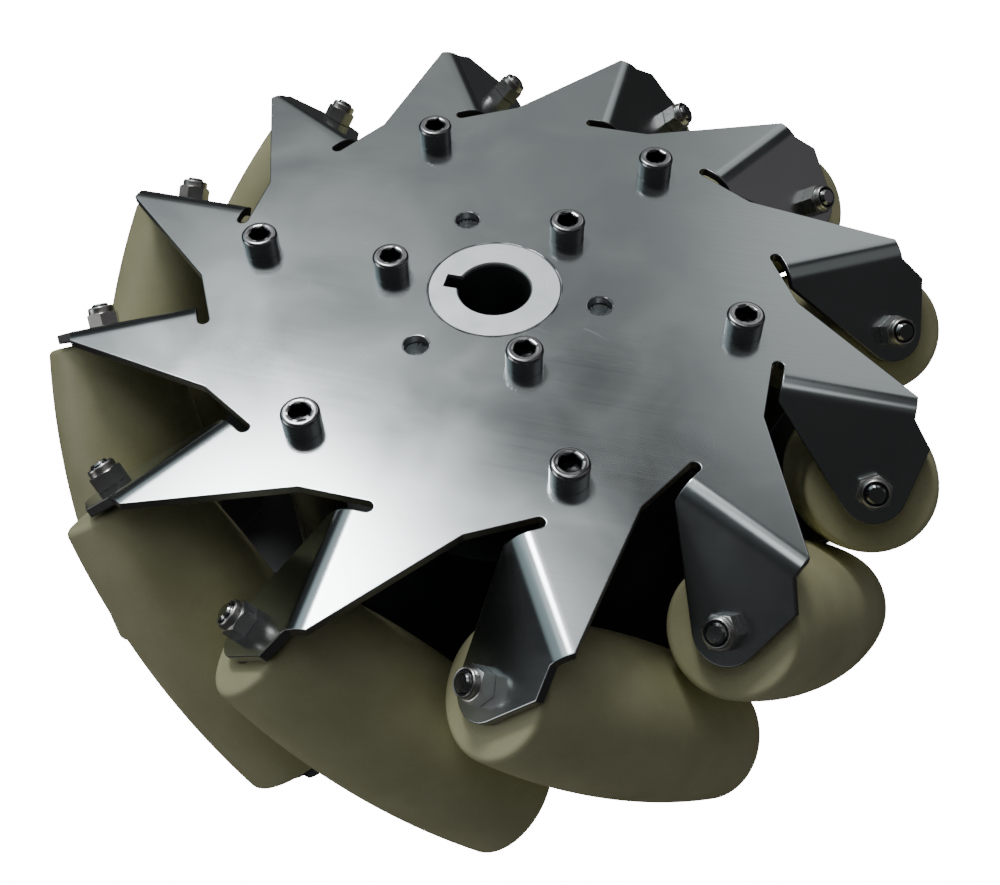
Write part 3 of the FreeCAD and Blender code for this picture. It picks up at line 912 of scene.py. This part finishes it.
shank, head, head_height, screw_length = 3.0, 5.0, 6.0, 16.0
socket_flats, socket_mouth = 5.0, 3.05
screw_angles = all_round(96)
screw_body = rounded([(0, -screw_length), (shank - 0.6, -screw_length),
                      (shank, 0.6 - screw_length), (shank, 0), (head, 0), (head, head_height),
                      (socket_mouth, head_height), (0, head_height)],
                     [0, 0.1, 0.1, 0.1, 0.15, 0.95, 0, 0], steps=6)[:-1]
socket_wall = hexagon(socket_flats, screw_angles)
socket_rows = [(socket_wall, 5.7), (socket_wall, 5.55), (socket_wall, 3.1),
               (0.97 * socket_wall, 3.0), (0, 2.7)]
screw = turned_rows(list(screw_body) + socket_rows, screw_angles)
half_turns = np.radians([60, 180, 300])
screw_circles = ((rim_bolt_radius, sixth, "rim"), (hub_bolt_radius, half_turns, "hub"))
for circle, angles, kind in screw_circles:
    placed = ring_of(screw + [0, 0, half_width], circle, angles)
    for side, points in (("front", placed), ("rear", turned_over(placed))):
        add_turned("%s_%s_cap_screws" % (side, kind), screw, points, cap_screw_steel,
                   ["%s_%s_screws" % (side, kind)], closed=False)
print("a cap screw has", (len(screw) - 1) * len(screw_angles), "faces")

# %% [markdown]
# ## Lock nuts on the tabs
# A hexagon nut's corners are turned off by a cone. Where the cone cuts a flat it
# leaves a curved line, which is exact here: the cone's height falls as the hexagon's
# radius grows. The collar above it grips a dark nylon ring.

# %% Make the nuts and their nylon rings
fastener_angles = all_round(72)
nut_flats, nut_height, collar_height = 8.0, 4.2, 1.9
nut_wall = hexagon(nut_flats, fastener_angles)


def corner_cut(top):
    """The height at which the corner cone, which ends at top, meets the nut's wall."""
    return top - (nut_wall - nut_flats / 2) * math.tan(math.radians(30))


nut_rows = [(2.9, 0.0), (nut_wall - 0.25, 0.0), (nut_wall, 0.2),
            (nut_wall, corner_cut(nut_height)), (nut_flats / 2, nut_height), (3.75, 4.22),
            (3.7, 4.3), (3.7, 5.4), (3.62, 5.75), (3.45, 6.0), (3.25, 6.1), (3.1, 6.05),
            (3.05, 5.9), (3.05, 4.5), (2.55, 4.5), (2.55, 0.35)]
nut = turned_rows(nut_rows, fastener_angles) + [0, 0, tab_outer_face]
add_turned("tab_lock_nuts", nut, on_all_axles(nut), nut_steel,
           ["axle_lock_nuts"])
nylon_outline = rounded([(2.56, 4.52), (3.04, 4.52), (3.04, 5.85), (2.56, 5.85)], 0.12)
nylon_ring = turned(nylon_outline, all_round(48)) + [0, 0, tab_outer_face]
add_turned("nut_nylon_rings", nylon_ring, on_all_axles(nylon_ring), ring_nylon,
           None)
print("a nut has", nut.shape[0] * nut.shape[1], "faces")

# %% [markdown]
# ## Long bolts through the rollers
# A bolt's head is at the rear tab, and its threaded end stands a little out of the nut.
# The thread is a radius too: it dips once in every turn, and the dips climb by one
# pitch as the angle goes round. Toward the end the radius closes to a blunt point.

# %% Make the long bolts
thread_pitch, thread_depth, thread_length = 0.8, 0.35, 9.0
blunt_radius, bolt_past_nut, bolt_head = 1.9, 0.8, 3.5
bolt_top = tab_outer_face + nut_height + collar_height + bolt_past_nut
head_out = -tab_outer_face - bolt_head
head_rows = [(0.0, head_out), (3.8, head_out), (nut_flats / 2, head_out + 0.02),
             (nut_wall, -corner_cut(-head_out)), (nut_wall, -tab_outer_face - 0.1),
             (nut_wall - 0.1, -tab_outer_face), (axle_radius, -tab_outer_face),
             (axle_radius, -tab_outer_face + 0.5), (axle_radius, bolt_top - thread_length)]
thread_heights = np.arange(bolt_top - thread_length + 0.2, bolt_top - 0.05, thread_pitch / 8)
turns = thread_heights[:, None] / thread_pitch - fastener_angles[None] / (2 * np.pi)
valley = np.abs(turns % 1.0 - 0.5) * 2
room = np.clip((bolt_top - thread_heights) / 0.6, 0, 1)[:, None]
closing = blunt_radius + (axle_radius - blunt_radius) * room
thread_radius = np.minimum(axle_radius - thread_depth * valley, closing)
thread_rows = list(zip(thread_radius, thread_heights))
end_rows = [(blunt_radius, bolt_top), (0.0, bolt_top)]
bolt = turned_rows(head_rows + thread_rows + end_rows, fastener_angles)
for i, number in enumerate(roller_numbers):
    add_turned("long_bolt_" + number, bolt, on_axle(bolt, i)[None], screw_steel,
               ["axle_bolt_" + number], closed=False)
print("a bolt has", (len(bolt) - 1) * len(fastener_angles), "faces")

# %% [markdown]
# ## Bearings in the roller ends
# Each roller end holds a small ball bearing. What shows is its outer ring and a rubber
# shield that sits a little lower. Both turn with the roller. The inner rings, sleeves
# and washers keep their CAD meshes and only get a finish.

# %% Make the bearings
bearing_angles = all_round(64)
bearing_out = roller_half - 0.5
bearing_in = bearing_out - 5.0
outside, inside, lowered = 8.0, 6.9, 0.35
ring_corners = [(outside, bearing_in), (outside, bearing_out), (inside, bearing_out),
                (inside, bearing_out - lowered), (inside, bearing_in + lowered),
                (inside, bearing_in)]
shield_corners = [(3.98, bearing_in + lowered), (6.92, bearing_in + lowered),
                  (6.92, bearing_out - lowered), (6.5, bearing_out - lowered),
                  (6.3, bearing_out - 0.2), (4.3, bearing_out - 0.2), (3.98, bearing_out - 0.3)]
outer_ring = turned(rounded(ring_corners, [0.3, 0.3, 0.1, 0, 0, 0.1]), bearing_angles)
shield = turned(rounded(shield_corners, [0, 0, 0, 0.1, 0.1, 0.1, 0]), bearing_angles)
both = np.concatenate([outer_ring, shield])
ring_quads = grid_faces(*outer_ring.shape[:2])
shield_quads = grid_faces(*shield.shape[:2]) + outer_ring.shape[0] * outer_ring.shape[1]
for i, number in enumerate(roller_numbers):
    ends = np.stack([on_axle(both, i), on_axle(turned_over(both), i)])
    add_piece("end_bearings_" + number, ends, [ring_quads, shield_quads],
              [bearing_steel, seal_rubber], "roller_body_" + number,
              ["bearing_outer_rings_" + number], {"turning": turning_of(both)}, parts=[0, 1])
for name, material in (("bearing_inner_rings", bearing_steel), ("side_washers", bearing_steel),
                       ("axle_sleeves", spacer_aluminium)):
    nodes[name].data.materials.clear()
    nodes[name].data.materials.append(material)
print("made", roller_count, "pairs of bearings")

# %% [markdown]
# ## The floor
# The camera sees a plain white floor with a painted shadow under the wheel: a dark disc,
# as the gaps between the rollers are in the picture. The wheel meets another one: a dark
# paint, which gives the polished tabs their deep tone, with a faint glow for matt
# surfaces that the painted shadow also holds back. A Light Path node tells the rays apart.

# %% Lay the floor
floor_fill, floor_white, floor_reach = 0.17, 16.0, 4.0
floor_height = cad_box[0][2]
shade_middle, shade_edge, white_edge = (0, 0.020, floor_height), 0.108, 0.113
floor_mesh = bpy.data.meshes.new("floor")
floor_mesh.from_pydata([(x * floor_reach, y * floor_reach, floor_height)
                        for x, y in ((-1, -1), (1, -1), (1, 1), (-1, 1))], [], [(0, 1, 2, 3)])
floor = bpy.data.objects.new("floor", floor_mesh)
bpy.context.scene.collection.objects.link(floor)
floor_paint, tree, shader = new_material(
    "floor_paint", {"Base Color": (0.05, 0.05, 0.05, 1), "Roughness": 0.9})
here = node(tree, "ShaderNodeTexCoord").outputs["Object"]
away = node(tree, "ShaderNodeVectorMath", {0: here, 1: shade_middle}, operation="DISTANCE")
# Painted shadow: a dark disc under the wheel, for the camera's white and for the faint glow.
outside_painted_shadow = spread(tree, away.outputs["Value"], 0, 1, shade_edge, white_edge)
ray = node(tree, "ShaderNodeLightPath").outputs
bounced = maths(tree, "MULTIPLY", ray["Is Diffuse Ray"], floor_fill)
faint = node(tree, "ShaderNodeEmission",
             {"Color": (1, 0.98, 0.95, 1),
              "Strength": maths(tree, "MULTIPLY", bounced, outside_painted_shadow)})
white = node(tree, "ShaderNodeEmission", {"Color": (1, 1, 0.995, 1), "Strength": floor_white})
paint = node(tree, "ShaderNodeAddShader", {0: shader.outputs["BSDF"], 1: faint.outputs[0]})
seen_outside_painted_shadow = maths(tree, "MULTIPLY", ray["Is Camera Ray"], outside_painted_shadow)
lit = node(tree, "ShaderNodeMixShader", {0: seen_outside_painted_shadow, 1: paint.outputs[0], 2: white.outputs[0]})
fill(tree.nodes["Material Output"], {"Surface": lit.outputs[0]})
floor_paint.cycles.emission_sampling = "NONE"
floor_mesh.materials.append(floor_paint)
print("the floor lies at %.1f mm" % (floor_height / mm))

# %% [markdown]
# ## The light
# Polished steel shows what stands round it, so the light is a set of soft round patches
# in the world. Some show in the plate's flat part, some run along the bends, and the
# low ones light the rollers from the sides. The camera itself sees plain white.

# %% Light the wheel
studio = bpy.data.worlds.new("studio")
bpy.context.scene.world = studio
studio.use_nodes = True
studio.cycles.sampling_method = "MANUAL"
studio.cycles.sample_map_resolution = 512
sky = studio.node_tree
direction = node(sky, "ShaderNodeTexCoord").outputs["Generated"]


def patch(azimuth, elevation, full, faded, strength, tint=(1, 1, 1)):
    """A round patch of light: even within one angle of its middle, gone at another."""
    a, e = math.radians(azimuth), math.radians(elevation)
    toward = (math.cos(e) * math.cos(a), math.cos(e) * math.sin(a), math.sin(e))
    near = node(sky, "ShaderNodeVectorMath", {0: direction, 1: toward}, operation="DOT_PRODUCT")
    edges = math.cos(math.radians(faded)), math.cos(math.radians(full))
    light = spread(sky, near.outputs["Value"], 0, strength, *edges,
                   interpolation_type="SMOOTHSTEP")
    return vector_maths(sky, "MULTIPLY", light, tint)


cool, warm = (0.84, 1.0, 1.06), (1.10, 0.95, 1.02)
on_flat = [patch(127, 56.5, 4, 8, 22.0), patch(108, 60, 2.5, 6, 1.9), patch(77, 42, 7, 14, 0.50),
           patch(100, 31, 8, 20, 0.26), patch(126, 40, 3, 7, 0.25), patch(118, 45, 5, 9, 0.25)]
on_bends = [patch(107, 72, 5, 12, 0.32), patch(175, 42, 8, 26, 0.38, cool),
            patch(148, 38, 5, 16, 0.5, cool), patch(158, 60, 5, 14, 0.8),
            patch(160, 80, 4, 12, 1.3), patch(285, 84, 3, 9, 0.8), patch(320, 64, 6, 18, 0.05),
            patch(10, 60, 10, 25, 0.12)]
from_sides = [patch(206, 9, 9, 19, 1.6), patch(235, 8, 8, 20, 0.15),
              patch(16, 25, 8, 20, 0.08, warm)]
total = (0.026, 0.026, 0.026)
for light in on_flat + on_bends + from_sides:
    total = vector_maths(sky, "ADD", total, light)
ray = node(sky, "ShaderNodeLightPath").outputs
backdrop = mix_colours(sky, ray["Is Camera Ray"], total, (floor_white,) * 3 + (1,))
fill(sky.nodes["Background"], {"Color": backdrop, "Strength": 1.0})
print("lit by", len(on_flat + on_bends + from_sides), "patches")
